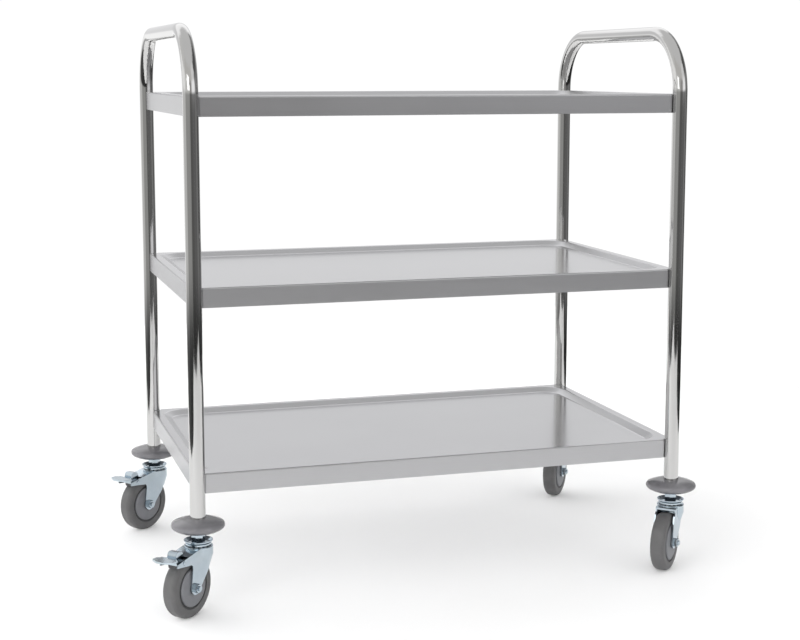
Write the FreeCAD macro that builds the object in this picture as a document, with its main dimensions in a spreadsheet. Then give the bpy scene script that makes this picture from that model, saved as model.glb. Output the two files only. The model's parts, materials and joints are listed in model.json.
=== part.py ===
import FreeCAD, Part
import Sketcher
import math
import os

# Serving trolley: two bent-tube end frames, three pressed trays, four bumper
# discs and four swivel castors (the two at the left end have brake pedals).
# Frame: X along the length (left end -X), -Y the front, Z up, origin on the
# floor under the middle of the trolley. Millimetres.

V = FreeCAD.Vector
doc = FreeCAD.newDocument("serving_trolley")
sheet = doc.addObject("Spreadsheet::Sheet", "Params")

CELLS = [
    # end frames
    ("leg_x", 417.5), ("leg_y", 252.5), ("tube_dia", 25.0), ("tube_wall", 1.2),
    ("bend_radius", 100.0), ("handle_height", 927.5), ("leg_end", 140.0),
    # shelves
    ("shelf_half_length", 420.0), ("shelf_half_depth", 251.5), ("sheet_gauge", 1.0),
    ("skirt_height", 32.0), ("hem_width", 12.0), ("fold_radius", 2.5),
    ("notch_gap", 0.15), ("rim_end", 15.0), ("rim_side", 12.0), ("recess_depth", 8.0),
    ("wall_run", 15.0), ("recess_corner", 45.0), ("press_radius", 6.0),
    ("top_shelf_rim", 825.0), ("middle_shelf_rim", 525.0), ("bottom_shelf_rim", 225.0),
    # corner fixings
    ("saddle_height", 22.0), ("saddle_base", 5.0), ("saddle_flat", 18.0),
    ("bolt_radius", 3.0), ("bolt_clear", 3.2), ("insert_radius", 4.45), ("insert_hole", 4.5),
    # bumper and leg plug
    ("bumper_radius", 43.4), ("bumper_base", 134.0), ("bumper_rim", 5.5),
    ("bumper_crest", 154.5), ("plug_length", 36.0), ("stem_radius", 6.0),
    # castor
    ("trail", 31.0), ("wheel_radius", 50.0), ("tyre_half", 12.5), ("shoulder", 7.0),
    ("tyre_bore", 35.0), ("hub_half", 11.0), ("hub_boss", 11.0), ("cap_radius", 31.0),
    ("bush_radius", 8.0), ("axle_radius", 4.0), ("crown_height", 110.5),
    ("crown_radius", 23.5), ("fork_half", 18.0), ("fork_gauge", 2.5), ("fork_end", 11.0),
    ("wheel_room", 54.0), ("cup_rim", 119.0), ("cup_radius", 23.3), ("hex_flats", 19.0),
    ("ball_radius", 2.2), ("ball_pitch", 17.0), ("ball_height", 111.4), ("ball_count", 14.0),
    ("run_clear", 0.05),
    # brake
    ("pivot_reach", 60.0), ("pivot_height", 98.5), ("pin_radius", 2.0),
    ("pedal_half", 14.5), ("hump_half", 9.0), ("tongue_half", 20.0), ("tongue_reach", 99.0),
    ("shoe_half", 7.0),
    # heading of each castor's trail, degrees about Z
    ("front_left_heading", 223.2), ("back_left_heading", 216.0),
    ("front_right_heading", 227.0), ("back_right_heading", 231.5),
]
for i, (name, value) in enumerate(CELLS, start=1):
    sheet.set("A%d" % i, name)
    sheet.set("B%d" % i, repr(value))
    sheet.setAlias("B%d" % i, name)
doc.recompute()


class Dim:
    """A number together with the sheet expression that it comes from."""

    def __init__(self, value, text, bound):
        self.v = float(value)
        self.t = text
        self.bound = bound

    def _two(self, other, sign, fn):
        other = dim(other)
        return Dim(fn(self.v, other.v), "(%s %s %s)" % (self.t, sign, other.t),
                   self.bound or other.bound)

    def __add__(self, o):
        return self._two(o, "+", lambda a, b: a + b)

    def __radd__(self, o):
        return dim(o) + self

    def __sub__(self, o):
        return self._two(o, "-", lambda a, b: a - b)

    def __rsub__(self, o):
        return dim(o) - self

    def __mul__(self, o):
        return self._two(o, "*", lambda a, b: a * b)

    def __rmul__(self, o):
        return dim(o) * self

    def __truediv__(self, o):
        return self._two(o, "/", lambda a, b: a / b)

    def __neg__(self):
        return Dim(-self.v, "(-1 * %s)" % self.t, self.bound)


def dim(x):
    return x if isinstance(x, Dim) else Dim(x, repr(float(x)), False)


def root(d):
    return Dim(math.sqrt(d.v), "sqrt(%s)" % d.t, d.bound)


def cosd(d):
    return Dim(math.cos(math.radians(d.v)), "cos(%s * 1 deg)" % d.t, d.bound)


def sind(d):
    return Dim(math.sin(math.radians(d.v)), "sin(%s * 1 deg)" % d.t, d.bound)


class Sizes:
    pass


S = Sizes()
for name, value in CELLS:
    setattr(S, name, Dim(sheet.get(name), "Params." + name, True))

NODES = []


def node(obj, label):
    obj.Label = label
    NODES.append(obj)
    return obj


def bind(obj, prop, d):
    d = dim(d)
    if d.bound:
        obj.setExpression(prop, d.t)


def place(obj, x, y, z, turn=None):
    """Places an object from sheet values, turned about Z."""
    x, y, z = dim(x), dim(y), dim(z)
    angle = dim(0.0) if turn is None else dim(turn)
    obj.Placement = FreeCAD.Placement(V(x.v, y.v, z.v), FreeCAD.Rotation(V(0, 0, 1), angle.v))
    for prop, d in (("Placement.Base.x", x), ("Placement.Base.y", y), ("Placement.Base.z", z)):
        bind(obj, prop, d)


def new_body(name):
    return doc.addObject("PartDesign::Body", name)


def sketch(body, name, role, lift=None):
    sk = body.newObject("Sketcher::SketchObject", name)
    plane = [f for f in body.Origin.OriginFeatures if f.Role == role][0]
    sk.AttachmentSupport = [(plane, "")]
    sk.MapMode = "FlatFace"
    if lift is not None:
        lift = dim(lift)
        sk.AttachmentOffset = FreeCAD.Placement(V(0, 0, lift.v), FreeCAD.Rotation())
        bind(sk, "AttachmentOffset.Base.z", lift)
    return sk


def fix_point(sk, geo, pos, x, y):
    for axis, ref, d in (("DistanceX", -2, dim(x)), ("DistanceY", -1, dim(y))):
        if not d.bound and abs(d.v) < 1e-9:
            sk.addConstraint(Sketcher.Constraint("PointOnObject", geo, pos, ref))
        else:
            n = sk.addConstraint(Sketcher.Constraint(axis, -1, 1, geo, pos, d.v))
            bind(sk, "Constraints[%d]" % n, d)


def outline(sk, points, arcs=None, closed=True):
    """Chain of lines and arcs through points; arcs maps a segment's number to
    (radius, turn) with turn +1 for an arc that runs anticlockwise."""
    arcs = arcs or {}
    points = [(dim(x), dim(y)) for x, y in points]
    count = len(points) if closed else len(points) - 1
    ends = []
    for k in range(count):
        ax, ay = points[k][0].v, points[k][1].v
        bx, by = points[(k + 1) % len(points)][0].v, points[(k + 1) % len(points)][1].v
        if k in arcs:
            radius, turn = dim(arcs[k][0]), arcs[k][1]
            dx, dy = bx - ax, by - ay
            half = math.hypot(dx, dy) / 2
            rise = math.sqrt(max(radius.v ** 2 - half ** 2, 0.0))
            cx = (ax + bx) / 2 - turn * dy / (2 * half) * rise
            cy = (ay + by) / 2 + turn * dx / (2 * half) * rise
            a0 = math.atan2(ay - cy, ax - cx)
            a1 = math.atan2(by - cy, bx - cx)
            if turn < 0:
                a0, a1 = a1, a0
            if a1 <= a0:
                a1 += 2 * math.pi
            g = sk.addGeometry(Part.ArcOfCircle(
                Part.Circle(V(cx, cy, 0), V(0, 0, 1), radius.v), a0, a1), False)
            ends.append((g, 1, 2) if turn > 0 else (g, 2, 1))
            n = sk.addConstraint(Sketcher.Constraint("Radius", g, radius.v))
            bind(sk, "Constraints[%d]" % n, radius)
        else:
            g = sk.addGeometry(Part.LineSegment(V(ax, ay, 0), V(bx, by, 0)), False)
            ends.append((g, 1, 2))
    for k in range(count):
        g, first, last = ends[k]
        if k + 1 < count or closed:
            h, hfirst, _ = ends[(k + 1) % count]
            sk.addConstraint(Sketcher.Constraint("Coincident", g, last, h, hfirst))
        fix_point(sk, g, first, points[k][0], points[k][1])
    if not closed:
        g, first, last = ends[-1]
        fix_point(sk, g, last, points[-1][0], points[-1][1])
    return sk


def circle(sk, x, y, radius):
    x, y, radius = dim(x), dim(y), dim(radius)
    g = sk.addGeometry(Part.Circle(V(x.v, y.v, 0), V(0, 0, 1), radius.v), False)
    fix_point(sk, g, 3, x, y)
    n = sk.addConstraint(Sketcher.Constraint("Radius", g, radius.v))
    bind(sk, "Constraints[%d]" % n, radius)
    return sk


def symmetric(feature):
    if "SideType" in feature.PropertiesList:
        feature.SideType = "Symmetric"
    else:
        feature.Midplane = True


def pad(body, sk, length, both=False, reverse=False):
    f = body.newObject("PartDesign::Pad", sk.Name + "_pad")
    f.Profile = sk
    f.Length = dim(length).v
    bind(f, "Length", length)
    if both:
        symmetric(f)
    f.Reversed = reverse
    sk.Visibility = False
    doc.recompute()
    return f


def cut(body, make):
    """Runs make() and checks that it took material away."""
    before = body.Shape.Volume
    f = make()
    doc.recompute()
    if not body.Shape.Volume < before - 1e-3:
        raise RuntimeError("%s cut nothing: %s" % (f.Name, f.State))
    return f


def pocket(body, sk, length=None, both=False, reverse=False):
    def make():
        f = body.newObject("PartDesign::Pocket", sk.Name + "_pocket")
        f.Profile = sk
        if length is None:
            f.Type = "ThroughAll"
        else:
            f.Length = dim(length).v
            bind(f, "Length", length)
        if both:
            symmetric(f)
        f.Reversed = reverse
        return f
    return cut(body, make)


def revolve(body, sk, axis="V_Axis"):
    f = body.newObject("PartDesign::Revolution", sk.Name + "_turn")
    f.Profile = sk
    f.ReferenceAxis = (sk, [axis])
    f.Angle = 360
    doc.recompute()
    return f


def groove(body, sk, axis="V_Axis"):
    def make():
        f = body.newObject("PartDesign::Groove", sk.Name + "_groove")
        f.Profile = sk
        f.ReferenceAxis = (sk, [axis])
        f.Angle = 360
        return f
    return cut(body, make)


def fillet(body, radius, test):
    base = body.Tip
    names = ["Edge%d" % (i + 1) for i, e in enumerate(base.Shape.Edges) if test(e)]
    if not names:
        raise RuntimeError("no edges to round on " + body.Name)
    f = body.newObject("PartDesign::Fillet", body.Name + "_round")
    f.Base = (base, names)
    f.Radius = dim(radius).v
    bind(f, "Radius", radius)
    doc.recompute()
    return f


def middle(e):
    return e.valueAt((e.FirstParameter + e.LastParameter) / 2)


def upright(e):
    if len(e.Vertexes) != 2:
        return False
    a, b = e.Vertexes[0].Point, e.Vertexes[1].Point
    return abs(a.x - b.x) < 1e-6 and abs(a.y - b.y) < 1e-6


def level(z):
    def test(e):
        box = e.BoundBox
        return abs(box.ZMin - z) < 1e-4 and abs(box.ZMax - z) < 1e-4
    return test


def cylinder(name, radius, height, placement):
    c = doc.addObject("Part::Cylinder", name)
    c.Radius = dim(radius).v
    bind(c, "Radius", radius)
    c.Height = dim(height).v
    bind(c, "Height", height)
    c.Placement = placement
    return c


def hexagon(name, flats, height, placement):
    p = doc.addObject("Part::Prism", name)
    p.Polygon = 6
    corner = dim(flats) * (1.0 / math.sqrt(3.0))
    p.Circumradius = corner.v
    bind(p, "Circumradius", corner)
    p.Height = dim(height).v
    bind(p, "Height", height)
    p.Placement = placement
    return p


def compound(name, links):
    c = doc.addObject("Part::Compound", name)
    c.Links = links
    return c


def fuse(name, a, b):
    f = doc.addObject("Part::Fuse", name)
    f.Base = a
    f.Tool = b
    return f


def minus(name, a, b):
    f = doc.addObject("Part::Cut", name)
    f.Base = a
    f.Tool = b
    return f


tube_r = S.tube_dia / 2
SHELVES = (("top", S.top_shelf_rim), ("middle", S.middle_shelf_rim), ("bottom", S.bottom_shelf_rim))
CORNERS = (("front_left", -1, -1), ("back_left", -1, 1), ("front_right", 1, -1), ("back_right", 1, 1))


def along(x, y, z, direction):
    """Placement whose local Z runs along direction."""
    return FreeCAD.Placement(V(x, y, z), FreeCAD.Rotation(V(0, 0, 1), V(*direction)))


def inward(ix, iy):
    k = math.sqrt(0.5)
    return (-ix * k, -iy * k, 0.0)


def fixing_height(rim):
    return rim - S.skirt_height + S.saddle_base + S.saddle_height / 2


# ---------------------------------------------------------------- end frames
for side, ix in (("left", -1), ("right", 1)):
    body = new_body(side + "_tube")
    path = sketch(body, side + "_tube_path", "YZ_Plane")
    top = S.handle_height
    turn = top - S.bend_radius
    flat = S.leg_y - S.bend_radius
    outline(path, [(-S.leg_y, S.leg_end), (-S.leg_y, turn), (-flat, top), (flat, top),
                   (S.leg_y, turn), (S.leg_y, S.leg_end)],
            {1: (S.bend_radius, -1), 3: (S.bend_radius, -1)}, closed=False)
    ring = sketch(body, side + "_tube_ring", "XY_Plane", S.leg_end)
    circle(ring, 0, -S.leg_y, tube_r)
    circle(ring, 0, -S.leg_y, tube_r - S.tube_wall)
    doc.recompute()
    pipe = body.newObject("PartDesign::AdditivePipe", side + "_tube_bend")
    pipe.Profile = ring
    pipe.Spine = (path, [])
    doc.recompute()
    place(body, ix * S.leg_x, 0, 0)
    drills = []
    for shelf, rim in SHELVES:
        for iy in (-1, 1):
            z = fixing_height(rim)
            d = cylinder("%s_drill_%s_%d" % (side, shelf, iy + 1), S.insert_hole, 14.0,
                         along(ix * S.leg_x.v, iy * S.leg_y.v, z.v, inward(ix, iy)))
            bind(d, "Placement.Base.x", ix * S.leg_x)
            bind(d, "Placement.Base.y", iy * S.leg_y)
            bind(d, "Placement.Base.z", z)
            drills.append(d)
    node(minus(side + "_frame", body, compound(side + "_drills", drills)), side + "_frame_tube")
doc.recompute()


# ------------------------------------------------------------------- shelves
def notched(sk, grow):
    """Plan of a shelf, cut out round the four tubes; grow is the inset."""
    hx = S.shelf_half_length - grow
    hy = S.shelf_half_depth - grow
    r = tube_r + S.notch_gap + grow
    qx = S.leg_x - root(r * r - (S.leg_y - hy) * (S.leg_y - hy))
    qy = S.leg_y - root(r * r - (hx - S.leg_x) * (hx - S.leg_x))
    pts = [(-qx, -hy), (qx, -hy), (hx, -qy), (hx, qy), (qx, hy), (-qx, hy), (-hx, qy), (-hx, -qy)]
    outline(sk, pts, {1: (r, -1), 3: (r, -1), 5: (r, -1), 7: (r, -1)})


def rounded(sk, hx, hy, r):
    outline(sk, [(-hx + r, -hy), (hx - r, -hy), (hx, -hy + r), (hx, hy - r),
                 (hx - r, hy), (-hx + r, hy), (-hx, hy - r), (-hx, -hy + r)],
            {1: (r, 1), 3: (r, 1), 5: (r, 1), 7: (r, 1)})


def tray(name, inset):
    """One skin of a shelf: a notched block with the tray pressed into it. The
    sheet is what lies between the outer skin and the one a gauge inside."""
    g = dim(0.0) if not inset else S.sheet_gauge
    body = new_body(name)
    sk = sketch(body, name + "_plan", "XY_Plane", g)
    notched(sk, g)
    pad(body, sk, S.skirt_height - 2 * g)
    fillet(body, S.fold_radius + 0.5 - g, upright)
    crest = S.skirt_height - g
    hx = S.shelf_half_length - S.rim_end + g
    hy = S.shelf_half_depth - S.rim_side + g
    r = S.recess_corner + g
    upper = sketch(body, name + "_rim", "XY_Plane", crest)
    rounded(upper, hx, hy, r)
    lower = sketch(body, name + "_floor", "XY_Plane", crest - S.recess_depth)
    rounded(lower, hx - S.wall_run, hy - S.wall_run, r - S.wall_run)
    doc.recompute()

    def make():
        f = body.newObject("PartDesign::SubtractiveLoft", name + "_press")
        f.Profile = upper
        f.Sections = [lower]
        f.Ruled = True
        return f
    cut(body, make)
    fillet(body, S.fold_radius - g if inset else S.fold_radius,
           lambda e: level(crest.v)(e) and (abs(middle(e).x) > hx.v + 0.5 or abs(middle(e).y) > hy.v + 0.5))
    fillet(body, S.press_radius + (g if inset else 0),
           lambda e: level(crest.v)(e) and abs(middle(e).x) < hx.v + 0.3 and abs(middle(e).y) < hy.v + 0.3)
    fillet(body, S.press_radius + (0 if inset else 1.0),
           lambda e: level((crest - S.recess_depth).v)(e))
    if inset:
        mouth = sketch(body, name + "_mouth", "XY_Plane", -1.0)
        hem = S.hem_width
        rounded(mouth, S.shelf_half_length - hem, S.shelf_half_depth - hem, dim(30.0))
        pad(body, mouth, g + 2.0)
    return body


for shelf, rim in SHELVES:
    skin = tray(shelf + "_tray_outside", False)
    core = tray(shelf + "_tray_inside", True)
    sheet_metal = minus(shelf + "_tray", skin, core)
    drills = []
    for corner, ix, iy in CORNERS:
        z = S.saddle_base + S.saddle_height / 2
        d = cylinder("%s_%s_drill" % (shelf, corner), S.bolt_clear, 18.0,
                     along(ix * S.leg_x.v, iy * S.leg_y.v, z.v, inward(ix, iy)))
        bind(d, "Placement.Base.x", ix * S.leg_x)
        bind(d, "Placement.Base.y", iy * S.leg_y)
        bind(d, "Placement.Base.z", z)
        drills.append(d)
    shelf_part = minus(shelf + "_tray_drilled", sheet_metal, compound(shelf + "_tray_drills", drills))
    place(shelf_part, 0, 0, rim - S.skirt_height)
    node(shelf_part, shelf + "_shelf")
doc.recompute()

# ------------------------------------------------------------ corner fixings
# Each corner has a saddle inside the skirt, a bolt through it and a threaded
# insert in the tube. Locally X runs from the tube's axis into the shelf.
saddles, bolts, inserts = [], [], []
for shelf, rim in SHELVES:
    for corner, ix, iy in CORNERS:
        tag = "%s_%s" % (shelf, corner)
        heading = math.degrees(math.atan2(-iy, -ix))
        low = rim - S.skirt_height + S.saddle_base
        mid = fixing_height(rim)

        body = new_body(tag + "_saddle")
        sk = sketch(body, tag + "_saddle_plan", "XY_Plane")
        arc = tube_r + S.notch_gap + S.sheet_gauge + 0.05
        near = arc * math.cos(math.radians(26.0))
        wide = arc * math.sin(math.radians(26.0))
        outline(sk, [(near, wide), (near, -wide), (S.saddle_flat, -wide), (S.saddle_flat, wide)],
                {0: (arc, -1)})
        pad(body, sk, S.saddle_height)
        hole = sketch(body, tag + "_saddle_hole", "YZ_Plane")
        circle(hole, 0, S.saddle_height / 2, S.bolt_clear)
        pocket(body, hole, 60.0, both=True)
        place(body, ix * S.leg_x, iy * S.leg_y, low, heading)
        saddles.append(body)

        out = inward(ix, iy)
        shank = cylinder(tag + "_shank", S.bolt_radius, S.saddle_flat - 4.0,
                         along(ix * S.leg_x.v + 4.0 * out[0], iy * S.leg_y.v + 4.0 * out[1], mid.v, out))
        head = hexagon(tag + "_head", 10.0, 4.0,
                       along(ix * S.leg_x.v + S.saddle_flat.v * out[0],
                             iy * S.leg_y.v + S.saddle_flat.v * out[1], mid.v, out))
        for part, reach in ((shank, dim(4.0)), (head, S.saddle_flat)):
            bind(part, "Placement.Base.x", ix * S.leg_x + reach * out[0])
            bind(part, "Placement.Base.y", iy * S.leg_y + reach * out[1])
            bind(part, "Placement.Base.z", mid)
        bolts.append(fuse(tag + "_bolt", shank, head))

        body = new_body(tag + "_insert")
        sk = sketch(body, tag + "_insert_half", "XY_Plane")
        bore = S.bolt_radius + S.run_clear
        outline(sk, [(3.5, bore), (tube_r - 0.9, bore), (tube_r - 0.9, S.insert_radius),
                     (9.2, S.insert_radius), (9.2, 6.0), (7.5, 6.0), (7.5, S.insert_radius),
                     (3.5, S.insert_radius)])
        revolve(body, sk, "H_Axis")
        place(body, ix * S.leg_x, iy * S.leg_y, mid, heading)
        inserts.append(body)
node(compound("saddles", saddles), "shelf_corner_saddles")
node(compound("bolts", bolts), "shelf_bolts")
node(compound("inserts", inserts), "tube_threaded_inserts")
doc.recompute()

# -------------------------------------------------- bumpers, plugs and stems
plugs, stems = [], []
for corner, ix, iy in CORNERS:
    x, y = ix * S.leg_x, iy * S.leg_y
    body = new_body(corner + "_disc")
    sk = sketch(body, corner + "_disc_half", "XZ_Plane")
    seat = tube_r + S.run_clear
    hole = S.stem_radius + 0.5
    outline(sk, [(hole, S.bumper_base), (28.0, S.bumper_base),
                 (S.bumper_radius - 1.36, S.bumper_base + 5.6), (S.bumper_radius - 3.16, S.bumper_base + 14.2),
                 (seat + 1.2, S.bumper_crest), (seat, S.bumper_crest), (seat, S.leg_end), (hole, S.leg_end)],
            {1: (20.0, 1), 2: (S.bumper_rim, 1), 3: (66.6, 1)})
    revolve(body, sk)
    place(body, x, y, 0)
    node(body, corner + "_bumper")

    body = new_body(corner + "_plug")
    sk = sketch(body, corner + "_plug_half", "XZ_Plane")
    outline(sk, [(S.stem_radius + S.run_clear, S.leg_end),
                 (tube_r - S.tube_wall - 0.02, S.leg_end),
                 (tube_r - S.tube_wall - 0.02, S.leg_end + S.plug_length),
                 (S.stem_radius + S.run_clear, S.leg_end + S.plug_length)])
    revolve(body, sk)
    place(body, x, y, 0)
    plugs.append(body)

    body = new_body(corner + "_stem")
    sk = sketch(body, corner + "_stem_half", "XZ_Plane")
    foot = S.crown_height - S.fork_gauge - 0.2
    outline(sk, [(0, foot - 3.2), (9.0, foot - 3.2), (9.0, foot), (S.stem_radius, foot),
                 (S.stem_radius, S.leg_end + 32.0), (0, S.leg_end + 32.0)])
    revolve(body, sk)
    hexa = sketch(body, corner + "_stem_hex", "XY_Plane", S.crown_height + 4.5)
    rad = S.hex_flats / 2
    corner_r = S.hex_flats * (1.0 / math.sqrt(3.0))
    outline(hexa, [(corner_r, 0), (corner_r / 2, rad), (-(corner_r / 2), rad), (-corner_r, 0),
                   (-(corner_r / 2), -rad), (corner_r / 2, -rad)])
    pad(body, hexa, S.bumper_base - S.crown_height - 4.5)
    place(body, x, y, 0)
    stems.append(body)

    body = new_body(corner + "_cup")
    sk = sketch(body, corner + "_cup_half", "XZ_Plane")
    floor_z = S.crown_height + 4.5
    bore = S.stem_radius + 0.02
    outline(sk, [(bore, S.crown_height + 0.5), (12.0, S.crown_height + 0.5),
                 (12.0, S.crown_height + 1.7), (20.8, S.crown_height + 1.7),
                 (20.8, S.crown_height + 4.1), (S.cup_radius, S.cup_rim - 1.4),
                 (S.cup_radius, S.cup_rim), (22.2, S.cup_rim), (18.6, floor_z), (bore, floor_z)])
    revolve(body, sk)
    race = sketch(body, corner + "_cup_race", "XZ_Plane")
    circle(race, S.ball_pitch, S.ball_height, S.ball_radius + S.run_clear)
    groove(body, race)
    place(body, x, y, 0)
    node(body, corner + "_castor_cup")
node(compound("plugs", plugs), "leg_plugs")
node(compound("stems", stems), "castor_stems")
doc.recompute()

# ------------------------------------------------------------------- castors
# Locally X runs along the trail, Y is the axle's direction, and the swivel
# axis is Z through the leg's axis.
for corner, ix, iy in CORNERS:
    braked = ix < 0
    heading = getattr(S, corner + "_heading")
    x, y = ix * S.leg_x, iy * S.leg_y
    ax, az = S.trail, S.wheel_radius
    wx, wy = x + S.trail * cosd(heading), y + S.trail * sind(heading)
    top = S.crown_height
    inner = S.fork_half - S.fork_gauge

    # fork: a drawn bell under a flat crown, two side plates, a lip folded down over
    # the tyre on the plain ones, and a nose on the braked ones whose top web slopes
    # down to the pedal
    body = new_body(corner + "_yoke")
    cr, gauge = S.crown_radius, S.fork_gauge
    sk = sketch(body, corner + "_yoke_bell", "XZ_Plane")
    outline(sk, [(0, top - 32.5), (S.fork_half, top - 32.5), (cr, top - 14.5), (cr, top - 1.8),
                 (cr - 1.8, top), (0, top)], {3: (1.8, 1)})
    revolve(body, sk)
    sk = sketch(body, corner + "_yoke_side", "XZ_Plane")
    pts = [(-11.5, top - 2.0), (-11.5, top - 11.0), (-9.5, top - 20.5), (-1.5, az + 21.0),
           (ax - 8.35, az - 7.16), (ax + 10.9, az + 1.53)]
    if braked:
        pts += [(ax + 6.7, az + 33.0), (ax + 7.6, az + 38.0), (ax + 10.5, az + 40.2),
                (ax + 45.5, az + 44.0), (ax + 44.5, az + 50.0), (19.0, top - 0.4), (12.0, top - 0.4)]
    else:
        pts += [(ax + 6.7, az + 33.0), (ax + 2.0, az + 46.0), (27.5, az + 50.0), (27.5, top - 3.6),
                (25.9, top - 2.0)]
    outline(sk, pts, {4: (S.fork_end, 1)})
    pad(body, sk, 2 * S.fork_half, both=True)
    sk = sketch(body, corner + "_yoke_hollow", "XZ_Plane")
    outline(sk, [(0, top - 40.0), (inner, top - 40.0), (inner, top - 32.2), (cr - gauge, top - 14.2),
                 (cr - gauge, top - gauge), (0, top - gauge)])
    groove(body, sk)
    sk = sketch(body, corner + "_yoke_wheel_room", "XZ_Plane")
    circle(sk, ax, az, S.wheel_room)
    pocket(body, sk, 2 * inner, both=True)
    if not braked:
        sk = sketch(body, corner + "_yoke_lip_room", "XZ_Plane")
        outline(sk, [(12.0, 88.0), (25.0, 88.0), (25.0, top - 4.5), (12.0, top - 4.5)])
        pocket(body, sk, 2 * inner, both=True)
    if braked:
        sk = sketch(body, corner + "_yoke_nose_room", "XZ_Plane")
        outline(sk, [(24.0, 88.0), (95.0, 88.0), (95.0, 120.0), (48.0, 120.0), (48.0, top - 7.94),
                     (24.0, top - 3.4)])
        pocket(body, sk, 2 * inner, both=True)
        sk = sketch(body, corner + "_yoke_pivot", "XZ_Plane")
        circle(sk, S.pivot_reach, S.pivot_height, S.pin_radius + 0.02)
        pocket(body, sk, 60.0, both=True)
    sk = sketch(body, corner + "_yoke_king", "XY_Plane", top - 6.0)
    circle(sk, 0, 0, S.stem_radius + S.run_clear)
    pocket(body, sk, 12.0, reverse=True)
    sk = sketch(body, corner + "_yoke_race", "XZ_Plane")
    circle(sk, S.ball_pitch, S.ball_height, S.ball_radius + 0.01)
    groove(body, sk)
    sk = sketch(body, corner + "_yoke_axle", "XZ_Plane")
    circle(sk, ax, az, S.axle_radius + 0.02)
    pocket(body, sk, 60.0, both=True)
    place(body, x, y, 0, heading)
    node(body, corner + "_fork")

    # ring of balls between crown and cup
    balls = []
    count = int(round(S.ball_count.v))
    for k in range(count):
        b = doc.addObject("Part::Sphere", "%s_ball_%d" % (corner, k + 1))
        b.Radius = S.ball_radius.v
        bind(b, "Radius", S.ball_radius)
        a = dim(360.0 * k / count)
        b.Placement = FreeCAD.Placement(V(), FreeCAD.Rotation())
        place(b, S.ball_pitch * math.cos(math.radians(a.v)), S.ball_pitch * math.sin(math.radians(a.v)),
              S.ball_height)
        balls.append(b)
    ring = compound(corner + "_balls", balls)
    place(ring, x, y, 0, heading)
    node(ring, corner + "_swivel_balls")

    # axle bolt, nut and the bush clamped between the fork's plates
    body = new_body(corner + "_bolt")
    sk = sketch(body, corner + "_bolt_half", "XY_Plane")
    out = S.fork_half
    outline(sk, [(0, -out), (S.axle_radius, -out), (S.axle_radius, out + 9.0), (0, out + 9.0)])
    revolve(body, sk)
    sk = sketch(body, corner + "_bolt_hex", "XZ_Plane", out)
    outline(sk, [(7.5, 0), (3.75, 6.495), (-3.75, 6.495), (-7.5, 0), (-3.75, -6.495), (3.75, -6.495)])
    pad(body, sk, 5.3)
    place(body, wx, wy, az, heading)
    node(body, corner + "_axle_bolt")

    body = new_body(corner + "_nut")
    sk = sketch(body, corner + "_nut_hex", "XZ_Plane", -out)
    outline(sk, [(7.5, 0), (3.75, 6.495), (-3.75, 6.495), (-7.5, 0), (-3.75, -6.495), (3.75, -6.495)])
    circle(sk, 0, 0, S.axle_radius + 0.02)
    pad(body, sk, 6.5, reverse=True)
    place(body, wx, wy, az, heading)
    node(body, corner + "_axle_nut")

    body = new_body(corner + "_sleeve")
    sk = sketch(body, corner + "_sleeve_half", "XY_Plane")
    outline(sk, [(S.axle_radius + 0.02, -inner), (S.bush_radius, -inner), (S.bush_radius, inner),
                 (S.axle_radius + 0.02, inner)])
    revolve(body, sk)
    place(body, wx, wy, az, heading)
    node(body, corner + "_axle_bush")

    # wheel: tyre, hub and a pair of caps
    body = new_body(corner + "_tread")
    sk = sketch(body, corner + "_tread_half", "XY_Plane")
    r, w, q = S.wheel_radius, S.tyre_half, S.shoulder
    outline(sk, [(S.tyre_bore, -w + 0.6), (S.tyre_bore + 0.6, -w), (r - q, -w), (r, -w + q), (r, w - q),
                 (r - q, w), (S.tyre_bore + 0.6, w), (S.tyre_bore, w - 0.6)],
            {2: (q, 1), 4: (q, 1)})
    revolve(body, sk)
    place(body, wx, wy, az, heading)
    node(body, corner + "_tyre")

    body = new_body(corner + "_core")
    sk = sketch(body, corner + "_core_half", "XY_Plane")
    bore = S.bush_radius + S.run_clear
    h, long = S.hub_half, S.fork_half - S.fork_gauge - 1.5
    outline(sk, [(bore, -long), (S.hub_boss, -long), (S.hub_boss, -h), (S.tyre_bore, -h),
                 (S.tyre_bore, h), (S.hub_boss, h), (S.hub_boss, long), (bore, long)])
    revolve(body, sk)
    place(body, wx, wy, az, heading)
    node(body, corner + "_wheel_hub")

    caps = []
    for way, sign in (("near", 1), ("far", -1)):
        body = new_body("%s_cap_%s" % (corner, way))
        sk = sketch(body, "%s_cap_%s_half" % (corner, way), "XY_Plane")
        inside = S.hub_boss + 0.05
        ring_pts = [(inside, sign * h), (S.cap_radius, sign * h), (S.cap_radius, sign * (h + 1.6)),
                    (S.cap_radius - 2.0, sign * (h + 2.6)), (inside + 3.0, sign * (h + 3.3)),
                    (inside, sign * (h + 3.3))]
        outline(sk, ring_pts)
        revolve(body, sk)
        caps.append(body)
    pair = compound(corner + "_caps", caps)
    place(pair, wx, wy, az, heading)
    node(pair, corner + "_hub_caps")

    if not braked:
        continue

    # brake: a pedal on a pin through the nose, with a shoe over the tread
    px, pz = S.pivot_reach, S.pivot_height
    body = new_body(corner + "_rivet")
    sk = sketch(body, corner + "_rivet_half", "XY_Plane")
    out = S.fork_half
    outline(sk, [(0, -out - 1.3), (2.4, -out - 1.3), (3.2, -out - 0.6), (3.2, -out), (S.pin_radius, -out),
                 (S.pin_radius, out), (3.2, out), (3.2, out + 0.6), (2.4, out + 1.3), (0, out + 1.3)])
    revolve(body, sk)
    place(body, x + px * cosd(heading), y + px * sind(heading), pz, heading)
    node(body, corner + "_brake_pin")

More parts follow.
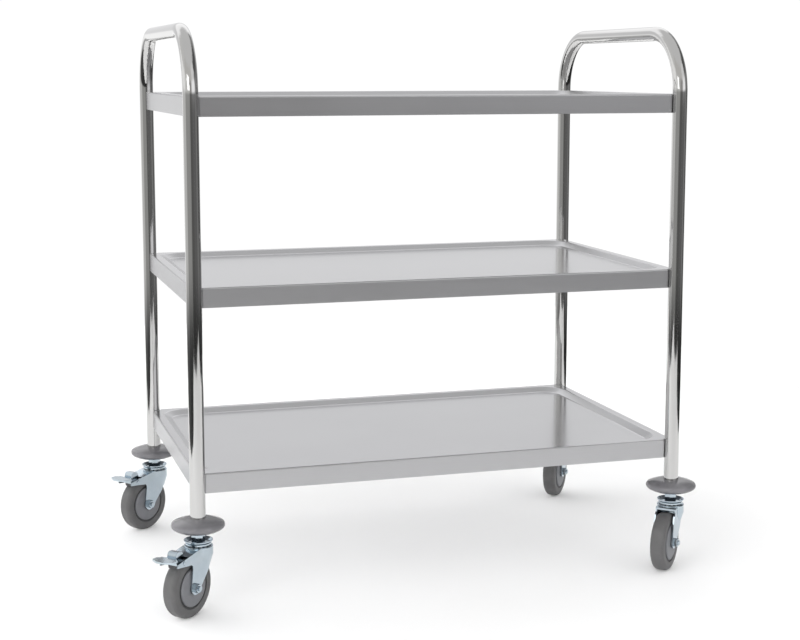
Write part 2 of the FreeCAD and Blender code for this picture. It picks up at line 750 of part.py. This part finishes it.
    body = new_body(corner + "_lever")
    sk = sketch(body, corner + "_lever_side", "XZ_Plane")
    outline(sk, [(px - 5.0, pz - 2.0), (px - 5.0, pz + 3.5), (px + 11.0, pz + 3.5), (px + 15.0, pz + 10.0),
                 (px + 21.0, pz + 10.0), (px + 21.0, pz + 7.2), (px + 16.0, pz + 6.0), (px + 14.0, pz - 1.5),
                 (px + 5.0, pz - 1.5), (px + 3.0, pz - 4.2), (px - 3.0, pz - 4.2)])
    pad(body, sk, 2 * S.pedal_half, both=True)
    sk = sketch(body, corner + "_lever_hump", "XZ_Plane")
    outline(sk, [(px - 9.0, pz + 2.0), (px - 9.5, pz + 9.0), (px - 8.0, pz + 13.5), (px - 4.5, pz + 16.5),
                 (px + 3.5, pz + 17.0), (px + 6.5, pz + 15.5), (px + 8.0, pz + 12.0), (px + 9.5, pz + 2.0)])
    pad(body, sk, 2 * S.hump_half, both=True)
    sk = sketch(body, corner + "_lever_tongue", "XY_Plane", pz + 7.2)
    tip = S.tongue_reach
    half = S.tongue_half
    outline(sk, [(px + 16.0, -S.pedal_half), (px + 18.0, -S.pedal_half), (px + 22.0, -half), (tip - 9.0, -half),
                 (tip - 5.5, 3.5 - half), (tip, -6.0), (tip, 6.0), (tip - 5.5, half - 3.5), (tip - 9.0, half),
                 (px + 22.0, half), (px + 18.0, S.pedal_half),
                 (px + 16.0, S.pedal_half)],
            {3: (3.5, 1), 4: (40.0, 1), 6: (40.0, 1), 7: (3.5, 1)})
    pad(body, sk, 2.8)
    sk = sketch(body, corner + "_lever_eye", "XZ_Plane")
    circle(sk, px, pz, S.pin_radius + S.run_clear)
    pocket(body, sk, 60.0, both=True)
    place(body, x, y, 0, heading)
    node(body, corner + "_brake_pedal")

    body = new_body(corner + "_pad")
    sk = sketch(body, corner + "_pad_side", "XZ_Plane")
    outline(sk, [(px + 5.0, pz - 6.0), (px + 8.2, pz - 9.0), (px + 9.4, pz - 1.5), (px + 5.0, pz - 1.5)])
    pad(body, sk, 2 * S.shoe_half, both=True)
    place(body, x, y, 0, heading)
    node(body, corner + "_brake_shoe")
doc.recompute()

# -------------------------------------------------------------------- output
for obj in doc.Objects:
    if "Invalid" in obj.State or "Error" in obj.State:
        raise RuntimeError("%s did not build: %s" % (obj.Name, obj.State))
labels = set()
for obj in NODES:
    if obj.Shape.isNull() or not obj.Shape.isValid() or not obj.Shape.Solids:
        raise RuntimeError("%s has no valid solid" % obj.Label)
    if obj.Label in labels:
        raise RuntimeError("two parts are called " + obj.Label)
    labels.add(obj.Label)
os.makedirs("parts", exist_ok=True)
for obj in NODES:
    obj.Shape.exportStep(os.path.join("parts", obj.Label + ".step"))
    box = obj.Shape.BoundBox
    print("%-28s solids %2d  volume %10.1f  z %.1f..%.1f" % (
        obj.Label, len(obj.Shape.Solids), obj.Shape.Volume, box.ZMin, box.ZMax))
print(len(NODES), "parts")
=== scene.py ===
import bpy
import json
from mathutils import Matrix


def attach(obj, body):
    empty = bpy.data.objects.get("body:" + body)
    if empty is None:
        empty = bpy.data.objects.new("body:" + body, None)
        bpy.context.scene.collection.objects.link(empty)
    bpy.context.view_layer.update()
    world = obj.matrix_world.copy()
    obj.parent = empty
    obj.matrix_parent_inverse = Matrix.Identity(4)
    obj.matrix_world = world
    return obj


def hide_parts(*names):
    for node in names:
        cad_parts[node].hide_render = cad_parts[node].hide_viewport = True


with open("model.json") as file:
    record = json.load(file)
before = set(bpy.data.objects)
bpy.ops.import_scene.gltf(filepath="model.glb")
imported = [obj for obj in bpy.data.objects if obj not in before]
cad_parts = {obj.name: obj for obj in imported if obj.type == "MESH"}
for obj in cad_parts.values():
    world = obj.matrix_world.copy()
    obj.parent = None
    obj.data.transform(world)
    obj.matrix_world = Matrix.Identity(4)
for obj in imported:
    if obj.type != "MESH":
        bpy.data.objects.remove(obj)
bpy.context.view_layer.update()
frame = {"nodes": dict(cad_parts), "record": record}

import json
import math

import bmesh
import bpy
from mathutils import Matrix, Vector

NODE = frame["nodes"]
SCENE = bpy.context.scene


# ---------------------------------------------------------------- node helpers
class Shader:
    """One procedural material: a principled surface and short ways to add the nodes that drive it."""

    def __init__(self, name):
        self.mat = bpy.data.materials.new(name)
        self.mat.use_nodes = True
        self.tree = self.mat.node_tree
        self.tree.nodes.clear()
        self.out = self.tree.nodes.new("ShaderNodeOutputMaterial")
        self.bsdf = self.tree.nodes.new("ShaderNodeBsdfPrincipled")
        self.join(self.bsdf.outputs[0], self.out.inputs["Surface"])
        self.at = self.tree.nodes.new("ShaderNodeTexCoord").outputs["Object"]

    def join(self, a, b):
        self.tree.links.new(a, b)

    def put(self, socket, value):
        if hasattr(value, "is_output"):
            self.join(value, socket)
        else:
            socket.default_value = value

    def set(self, **values):
        for name, value in values.items():
            self.put(self.bsdf.inputs[name.replace("_", " ").title().replace("Ior", "IOR")], value)
        return self

    def math(self, how, a, b=0.0, clamp=False):
        n = self.tree.nodes.new("ShaderNodeMath")
        n.operation = how
        n.use_clamp = clamp
        self.put(n.inputs[0], a)
        self.put(n.inputs[1], b)
        return n.outputs[0]

    def scaled(self, by, turn=(0, 0, 0), move=(0, 0, 0), at=None):
        n = self.tree.nodes.new("ShaderNodeMapping")
        self.join(at or self.at, n.inputs["Vector"])
        n.inputs["Scale"].default_value = by
        n.inputs["Rotation"].default_value = turn
        n.inputs["Location"].default_value = move
        return n.outputs[0]

    def noise(self, at, scale=1.0, detail=2.0, rough=0.5, twist=0.0):
        n = self.tree.nodes.new("ShaderNodeTexNoise")
        self.join(at, n.inputs["Vector"])
        n.inputs["Scale"].default_value = scale
        n.inputs["Detail"].default_value = detail
        n.inputs["Roughness"].default_value = rough
        n.inputs["Distortion"].default_value = twist
        return n.outputs["Fac"]

    def cells(self, at, scale, how="F1"):
        n = self.tree.nodes.new("ShaderNodeTexVoronoi")
        n.feature = how
        self.join(at, n.inputs["Vector"])
        n.inputs["Scale"].default_value = scale
        return n.outputs["Distance"]

    def span(self, value, low, high, to_low=0.0, to_high=1.0):
        n = self.tree.nodes.new("ShaderNodeMapRange")
        n.clamp = True
        self.put(n.inputs["Value"], value)
        for name, v in (("From Min", low), ("From Max", high), ("To Min", to_low), ("To Max", to_high)):
            n.inputs[name].default_value = v
        return n.outputs["Result"]

    def blend(self, share, a, b):
        n = self.tree.nodes.new("ShaderNodeMix")
        n.data_type = "RGBA"
        self.put(n.inputs["Factor"], share)
        self.put(n.inputs[6], a if hasattr(a, "is_output") else (*a, 1))
        self.put(n.inputs[7], b if hasattr(b, "is_output") else (*b, 1))
        return n.outputs[2]

    def mix(self, share, a, b):
        n = self.tree.nodes.new("ShaderNodeMix")
        n.data_type = "FLOAT"
        self.put(n.inputs["Factor"], share)
        self.put(n.inputs[2], a)
        self.put(n.inputs[3], b)
        return n.outputs[0]

    def axis(self, vector, name):
        n = self.tree.nodes.new("ShaderNodeSeparateXYZ")
        self.join(vector, n.inputs[0])
        return n.outputs[name]

    def bump(self, height, strength, distance, under=None):
        n = self.tree.nodes.new("ShaderNodeBump")
        self.join(height, n.inputs["Height"])
        n.inputs["Strength"].default_value = strength
        n.inputs["Distance"].default_value = distance
        if under is not None:
            self.join(under, n.inputs["Normal"])
        return n.outputs["Normal"]

    def facing(self, name):
        g = self.tree.nodes.new("ShaderNodeNewGeometry")
        return self.math("ABSOLUTE", self.axis(g.outputs["Normal"], name))


# ---------------------------------------------------------------- materials
def polished_tube():
    """Polished stainless tube: drawing streaks and fine polishing lines along the tube, soft smears, a few rubbed patches."""
    s = Shader("polished_stainless_tube")
    on_bar = s.span(s.axis(s.at, "Z"), 0.85, 0.92)
    lines = s.mix(on_bar, s.noise(s.scaled((900, 900, 5)), 1.0, 3.0, 0.6), s.noise(s.scaled((900, 5, 900)), 1.0, 3.0, 0.6))
    streak = s.mix(on_bar, s.noise(s.scaled((360, 360, 1.2)), 1.0, 1.0, 0.5), s.noise(s.scaled((360, 1.2, 360)), 1.0, 1.0, 0.5))
    smear = s.noise(s.scaled((14, 14, 5)), 1.0, 4.0, 0.55, 0.6)
    rubbed = s.span(s.noise(s.scaled((30, 30, 9)), 1.0, 5.0, 0.6), 0.52, 0.75)
    rough = s.math("ADD", s.span(lines, 0.3, 0.7, 0.035, 0.065), s.span(smear, 0.35, 0.7, 0.0, 0.03))
    rough = s.math("ADD", rough, s.math("MULTIPLY", rubbed, 0.025))
    s.set(base_color=s.blend(smear, (0.540, 0.537, 0.532), (0.580, 0.577, 0.572)), metallic=1.0, roughness=rough,
          normal=s.bump(lines, 0.03, 0.0003, s.bump(streak, 0.7, 0.0003)))
    return s.mat


def satin_sheet():
    """Cold-rolled stainless sheet: satin folds, tray floors pressed smoother, faint rolling grain, slow waviness, handling marks."""
    s = Shader("satin_stainless_sheet")
    flat = s.noise(s.scaled((5, 900, 900)), 1.0, 4.0, 0.65)
    ends = s.noise(s.scaled((900, 900, 9)), 1.0, 4.0, 0.65)
    on_end = s.span(s.facing("X"), 0.5, 0.8)
    lines = s.mix(on_end, flat, ends)
    pressed = s.span(s.facing("Z"), 0.90, 0.99)
    haze = s.noise(s.scaled((5, 7, 7)), 1.0, 4.0, 0.5, 0.4)
    wave = s.noise(s.scaled((4, 5, 9)), 1.0, 1.0, 0.4)
    marks = s.span(s.noise(s.scaled((22, 30, 30)), 1.0, 6.0, 0.65), 0.58, 0.78)
    rough = s.math("ADD", s.mix(pressed, 0.310, 0.150), s.span(lines, 0.3, 0.7, 0.0, 0.03))
    rough = s.math("ADD", rough, s.span(haze, 0.3, 0.7, 0.0, 0.02))
    rough = s.math("ADD", rough, s.math("MULTIPLY", marks, 0.02))
    tone = s.math("ADD", s.math("MULTIPLY", lines, 0.5), s.math("MULTIPLY", haze, 0.5))
    s.set(base_color=s.blend(s.span(tone, 0.3, 0.7), (0.480, 0.480, 0.491), (0.510, 0.510, 0.521)), metallic=1.0,
          roughness=rough, normal=s.bump(lines, 0.02, 0.0002, s.bump(wave, 0.15, 0.004)))
    return s.mat


def zinc_plate():
    """Bright blue-white zinc plate: cloudy tone, passivation tint and fine rolling grain."""
    s = Shader("bright_zinc_plate")
    cloud = s.noise(s.scaled((60, 60, 60)), 1.0, 5.0, 0.6, 0.5)
    grain = s.noise(s.scaled((900, 900, 900)), 1.0, 3.0, 0.6)
    tint = s.span(s.noise(s.scaled((38, 38, 38), move=(3, 1, 2)), 1.0, 3.0, 0.5), 0.45, 0.7)
    colour = s.blend(s.span(cloud, 0.3, 0.7), (0.455, 0.525, 0.580), (0.505, 0.575, 0.630))
    colour = s.blend(s.math("MULTIPLY", tint, 0.15), colour, (0.52, 0.57, 0.55))
    rough = s.math("ADD", s.span(cloud, 0.3, 0.7, 0.09, 0.13), s.span(grain, 0.3, 0.7, 0.0, 0.03))
    s.set(base_color=colour, metallic=1.0, roughness=rough, normal=s.bump(grain, 0.02, 0.0003))
    return s.mat


def plain_steel():
    """Machined steel of the hidden fittings: turned grain and a dull oil film."""
    s = Shader("machined_steel")
    grain = s.noise(s.scaled((700, 700, 700)), 1.0, 3.0, 0.6)
    film = s.noise(s.scaled((40, 40, 40)), 1.0, 4.0, 0.6)
    s.set(base_color=s.blend(s.span(film, 0.3, 0.7), (0.42, 0.42, 0.43), (0.56, 0.56, 0.57)), metallic=1.0,
          roughness=s.span(grain, 0.3, 0.7, 0.30, 0.45), normal=s.bump(grain, 0.1, 0.0003))
    return s.mat


def bumper_rubber():
    """Moulded grey rubber bumper: semi-gloss skin, fine moulding texture, dusty haze and light scuffs."""
    s = Shader("bumper_rubber")
    skin = s.noise(s.scaled((1400, 1400, 1400)), 1.0, 2.0, 0.5)
    haze = s.noise(s.scaled((35, 35, 35)), 1.0, 4.0, 0.55, 0.4)
    scuff = s.span(s.noise(s.scaled((60, 60, 260)), 1.0, 5.0, 0.65), 0.6, 0.8)
    colour = s.blend(s.span(haze, 0.3, 0.7), (0.106, 0.104, 0.111), (0.130, 0.128, 0.136))
    colour = s.blend(s.math("MULTIPLY", scuff, 0.18), colour, (0.19, 0.186, 0.196))
    s.set(base_color=colour, roughness=s.span(haze, 0.3, 0.7, 0.09, 0.15), normal=s.bump(skin, 0.06, 0.0002))
    s.bsdf.inputs["Specular IOR Level"].default_value = 0.5
    return s.mat


def tyre_rubber():
    """Grey non-marking tyre: matt skin with fine grain, rolled-in dust and a few scuffs."""
    s = Shader("grey_tyre_rubber")
    grain = s.noise(s.scaled((1100, 1100, 1100)), 1.0, 3.0, 0.6)
    dust = s.noise(s.scaled((45, 45, 45)), 1.0, 5.0, 0.6, 0.5)
    scuff = s.span(s.noise(s.scaled((120, 120, 120)), 1.0, 6.0, 0.7), 0.6, 0.8)
    colour = s.blend(s.span(dust, 0.3, 0.7), (0.066, 0.065, 0.066), (0.089, 0.088, 0.089))
    colour = s.blend(s.math("MULTIPLY", scuff, 0.3), colour, (0.15, 0.148, 0.146))
    s.set(base_color=colour, roughness=s.span(dust, 0.3, 0.7, 0.43, 0.57), normal=s.bump(grain, 0.15, 0.0002))
    return s.mat


def cap_plastic():
    """Moulded grey plastic hub cap: fine spark-eroded texture and faint flow marks."""
    s = Shader("hub_cap_plastic")
    spark = s.noise(s.scaled((1600, 1600, 1600)), 1.0, 2.0, 0.5)
    flow = s.noise(s.scaled((30, 30, 30)), 1.0, 4.0, 0.55, 1.0)
    s.set(base_color=s.blend(s.span(flow, 0.3, 0.7), (0.120, 0.123, 0.133), (0.146, 0.149, 0.160)),
          roughness=s.span(flow, 0.3, 0.7, 0.42, 0.52), normal=s.bump(spark, 0.12, 0.0002))
    return s.mat


def dark_plastic():
    """Black moulded plastic of the hubs and brake shoes."""
    s = Shader("dark_hub_plastic")
    spark = s.noise(s.scaled((1500, 1500, 1500)), 1.0, 2.0, 0.5)
    dust = s.noise(s.scaled((60, 60, 60)), 1.0, 4.0, 0.55)
    s.set(base_color=s.blend(s.span(dust, 0.35, 0.7), (0.020, 0.020, 0.022), (0.040, 0.040, 0.042)),
          roughness=s.span(dust, 0.3, 0.7, 0.48, 0.6), normal=s.bump(spark, 0.12, 0.0002))
    return s.mat


FINISH = {
    "polished_tube": polished_tube(), "satin_sheet": satin_sheet(), "zinc_plate": zinc_plate(),
    "plain_steel": plain_steel(), "bumper_rubber": bumper_rubber(), "grey_tyre": tyre_rubber(),
    "grey_cap": cap_plastic(), "dark_hub": dark_plastic(),
}
for part in frame["record"]["subparts"]:
    data = NODE[part["node"]].data
    data.materials.clear()
    data.materials.append(FINISH[part["material_slot"]])


# ---------------------------------------------------------------- end frames
def frame_tube(name, x):
    """One end frame as a smooth swept tube: leg, bend, handle bar, bend, leg."""
    reach, bend, top, foot = 0.2525, 0.100, 0.9275, 0.140
    outer, bore, around = 0.0125, 0.0113, 96
    path = []
    for k in range(9):
        path.append((Vector((x, -reach, foot + (top - bend - foot) * k / 8)), Vector((0, 0, 1))))
    for k in range(1, 49):
        a = math.radians(90 * k / 48)
        path.append((Vector((x, -reach + bend - bend * math.cos(a), top - bend + bend * math.sin(a))),
                     Vector((0, math.sin(a), math.cos(a)))))
    for k in range(1, 5):
        path.append((Vector((x, -reach + bend + 2 * (reach - bend) * k / 4, top)), Vector((0, 1, 0))))
    for k in range(1, 49):
        a = math.radians(90 * k / 48)
        path.append((Vector((x, reach - bend + bend * math.sin(a), top - bend + bend * math.cos(a))),
                     Vector((0, math.cos(a), -math.sin(a)))))
    for k in range(1, 9):
        path.append((Vector((x, reach, top - bend - (top - bend - foot) * k / 8)), Vector((0, 0, -1))))
    bm = bmesh.new()
    side = Vector((1, 0, 0))

    def skin(radius, count, flip):
        rings = []
        for at, way in path:
            up = way.cross(side)
            rings.append([bm.verts.new(at + radius * (math.cos(2 * math.pi * i / count) * side
                                                      + math.sin(2 * math.pi * i / count) * up)) for i in range(count)])
        for a, b in zip(rings, rings[1:]):
            for i in range(count):
                j = (i + 1) % count
                quad = (a[i], b[i], b[j], a[j]) if flip else (a[i], a[j], b[j], b[i])
                bm.faces.new(quad).smooth = True
        return rings

    out = skin(outer, around, False)
    inn = skin(bore, around, True)
    for k, flip in ((0, True), (-1, False)):
        a, b = out[k], inn[k]
        for i in range(around):
            j = (i + 1) % around
            bm.faces.new((a[i], b[i], b[j], a[j]) if flip else (a[i], a[j], b[j], b[i]))
    bmesh.ops.recalc_face_normals(bm, faces=bm.faces)
    mesh = bpy.data.meshes.new(name)
    for ring in (out[0], out[-1], inn[0], inn[-1]):
        for i in range(around):
            e = bm.edges.get((ring[i], ring[(i + 1) % around]))
            e.smooth = False
    bm.to_mesh(mesh)
    bm.free()
    obj = bpy.data.objects.new(name, mesh)
    SCENE.collection.objects.link(obj)
    mesh.materials.append(FINISH["polished_tube"])
    return obj


for way, x in (("left", -0.4175), ("right", 0.4175)):
    tube = frame_tube(way + "_end_frame", x)
    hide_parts(way + "_frame_tube")
    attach(tube, "frame")


# ---------------------------------------------------------------- floor, light and camera
def floor_sheet():
    """The pale paper that the trolley stands on, with painted shade: darker towards the front, where the light falls
    off.
    """
    mesh = bpy.data.meshes.new("studio_floor")
    bm = bmesh.new()
    x, front, back = 1.45, -2.25, 2.6
    bm.faces.new([bm.verts.new(p) for p in ((-x, front, 0), (x, front, 0), (x, back, 0), (-x, back, 0))])
    bm.to_mesh(mesh)
    bm.free()
    floor = bpy.data.objects.new("studio_floor", mesh)
    SCENE.collection.objects.link(floor)
    s = Shader("pale_floor_paper")
    tooth = s.noise(s.scaled((6, 6, 6)), 1.0, 3.0, 0.5)
    # painted shade: the paper is painted darker far in front of the trolley, in place of light falling off away from
    # the lamps
    painted_falloff_mask = s.span(s.axis(s.at, "Y"), -1.45, -0.75)
    paper_with_painted_falloff = s.blend(painted_falloff_mask, (0.77, 0.77, 0.77), (0.91, 0.91, 0.91))
    s.set(base_color=s.blend(s.span(tooth, 0.3, 0.7, 0.0, 0.03), paper_with_painted_falloff, (0.70, 0.70, 0.70)), roughness=0.9)
    mesh.materials.append(s.mat)


def studio_world():
    """Soft studio surroundings: white backdrop, pale left wall, dim room in front, dark right side, diffuser overhead."""
    world = bpy.data.worlds.new("studio")
    SCENE.world = world
    world.use_nodes = True
    world.cycles.sampling_method = "NONE"
    t = world.node_tree
    t.nodes.clear()
    link = t.links.new
    out = t.nodes.new("ShaderNodeOutputWorld")
    back = t.nodes.new("ShaderNodeBackground")
    coord = t.nodes.new("ShaderNodeTexCoord").outputs["Generated"]
    sep = t.nodes.new("ShaderNodeSeparateXYZ")
    link(coord, sep.inputs[0])

    def maths(how, a, b=0.0, clamp=False):
        n = t.nodes.new("ShaderNodeMath")
        n.operation, n.use_clamp = how, clamp
        for socket, v in zip(n.inputs, (a, b)):
            if hasattr(v, "is_output"):
                link(v, socket)
            else:
                socket.default_value = v
        return n.outputs[0]

    def span(v, low, high, to_low=0.0, to_high=1.0, smooth=True):
        n = t.nodes.new("ShaderNodeMapRange")
        n.interpolation_type = "SMOOTHSTEP" if smooth else "LINEAR"
        link(v, n.inputs["Value"])
        for name, x in (("From Min", low), ("From Max", high), ("To Min", to_low), ("To Max", to_high)):
            n.inputs[name].default_value = x
        return n.outputs["Result"]

    def blend(share, a, b):
        n = t.nodes.new("ShaderNodeMix")
        n.data_type = "RGBA"
        link(share, n.inputs["Factor"])
        for socket, v in ((n.inputs[6], a), (n.inputs[7], b)):
            if hasattr(v, "is_output"):
                link(v, socket)
            else:
                socket.default_value = (*v, 1)
        return n.outputs[2]

    x, y, z = (sep.outputs[k] for k in "XYZ")
    turn = maths("MULTIPLY", maths("ARCTAN2", x, maths("MULTIPLY", y, -1.0)), 180 / math.pi)   # 0 in front, + to the right

    def wall(below, level, above, high):
        colour = blend(span(z, -0.18, -0.12), below, level)
        colour = blend(span(z, -0.02, 0.08), colour, above)
        return blend(span(z, 0.27, 0.43), colour, high)

    backdrop = wall((0.55, 0.55, 0.55), (1.15, 1.15, 1.15), (0.87, 0.87, 0.88), (1.36, 1.36, 1.37))
    left_end = wall((0.10, 0.10, 0.10), (0.76, 0.76, 0.75), (1.22, 1.22, 1.21), (0.82, 0.82, 0.81))
    left_room = wall((0.05, 0.05, 0.05), (0.42, 0.42, 0.41), (0.84, 0.84, 0.82), (0.72, 0.71, 0.69))
    room = wall((0.03, 0.03, 0.03), (0.14, 0.14, 0.137), (0.44, 0.43, 0.42), (0.74, 0.73, 0.71))
    right_room = wall((0.03, 0.03, 0.03), (0.17, 0.17, 0.17), (1.33, 1.33, 1.35), (0.98, 0.98, 0.98))
    right_door = wall((0.03, 0.03, 0.03), (0.28, 0.28, 0.28), (0.36, 0.36, 0.36), (0.12, 0.12, 0.12))
    right_wall = wall((0.03, 0.03, 0.03), (0.11, 0.11, 0.11), (0.25, 0.25, 0.25), (0.12, 0.12, 0.12))
    right_end = wall((0.10, 0.10, 0.10), (0.42, 0.42, 0.42), (0.52, 0.52, 0.52), (0.33, 0.33, 0.33))
    colour = backdrop
    for edge, side in ((-140, left_end), (-84, left_room), (-22, room), (14, right_room), (58, right_door),
                       (84, right_wall), (118, right_end), (142, backdrop)):
        colour = blend(span(turn, edge - 7, edge + 7), colour, side)
    colour = blend(span(z, 0.60, 0.80), colour, (0.80, 0.80, 0.80))                              # overhead diffuser
    link(colour, back.inputs["Color"])
    seen = t.nodes.new("ShaderNodeBackground")
    seen.inputs["Color"].default_value = (1, 1, 1, 1)
    seen.inputs["Strength"].default_value = 1.02
    lit = t.nodes.new("ShaderNodeBackground")                                                    # soft light on matt surfaces
    sides = blend(span(x, -0.7, 0.7), (4.25, 4.25, 4.25), (1.95, 1.95, 1.95))
    link(blend(span(z, 0.40, 0.60), sides, (0.72, 0.72, 0.72)), lit.inputs["Color"])
    path = t.nodes.new("ShaderNodeLightPath")

    def choose(ray, a, b):
        mix = t.nodes.new("ShaderNodeMixShader")
        link(path.outputs[ray], mix.inputs[0])
        link(a, mix.inputs[1])
        link(b, mix.inputs[2])
        return mix.outputs[0]

    shown = choose("Is Diffuse Ray", back.outputs[0], lit.outputs[0])
    link(choose("Is Camera Ray", shown, seen.outputs[0]), out.inputs["Surface"])


def soft_light(name, place, aim, size, watts, mirrored=True):
    """A large soft box."""
    data = bpy.data.lights.new(name, "AREA")
    data.shape = "RECTANGLE"
    data.size, data.size_y = size
    data.energy = watts
    lamp = bpy.data.objects.new(name, data)
    SCENE.collection.objects.link(lamp)
    lamp.location = place
    lamp.rotation_euler = (Vector(aim) - Vector(place)).to_track_quat("-Z", "Y").to_euler()
    lamp.visible_camera = False
    lamp.visible_glossy = mirrored
    return lamp


floor_sheet()
studio_world()
soft_light("key_box", (-2.4, -2.4, 2.8), (0.0, 0.0, 0.2), (1.6, 1.4), 16, mirrored=False)
soft_light("left_box", (-1.5, -1.6, 1.35), (-0.4175, -0.25, 0.85), (0.9, 0.7), 3.2)

SCENE.view_settings.view_transform = "Standard"
SCENE.view_settings.look = "None"

camera = bpy.data.objects.new("camera", bpy.data.cameras.new("camera"))
SCENE.collection.objects.link(camera)
camera.location = (-0.8074, -2.6608, 0.8656)
camera.rotation_euler = (math.radians(82.301), math.radians(0.0), math.radians(-16.82))
camera.data.sensor_width = 36
camera.data.lens = 69.995
camera.data.shift_y = -0.05
SCENE.camera = camera
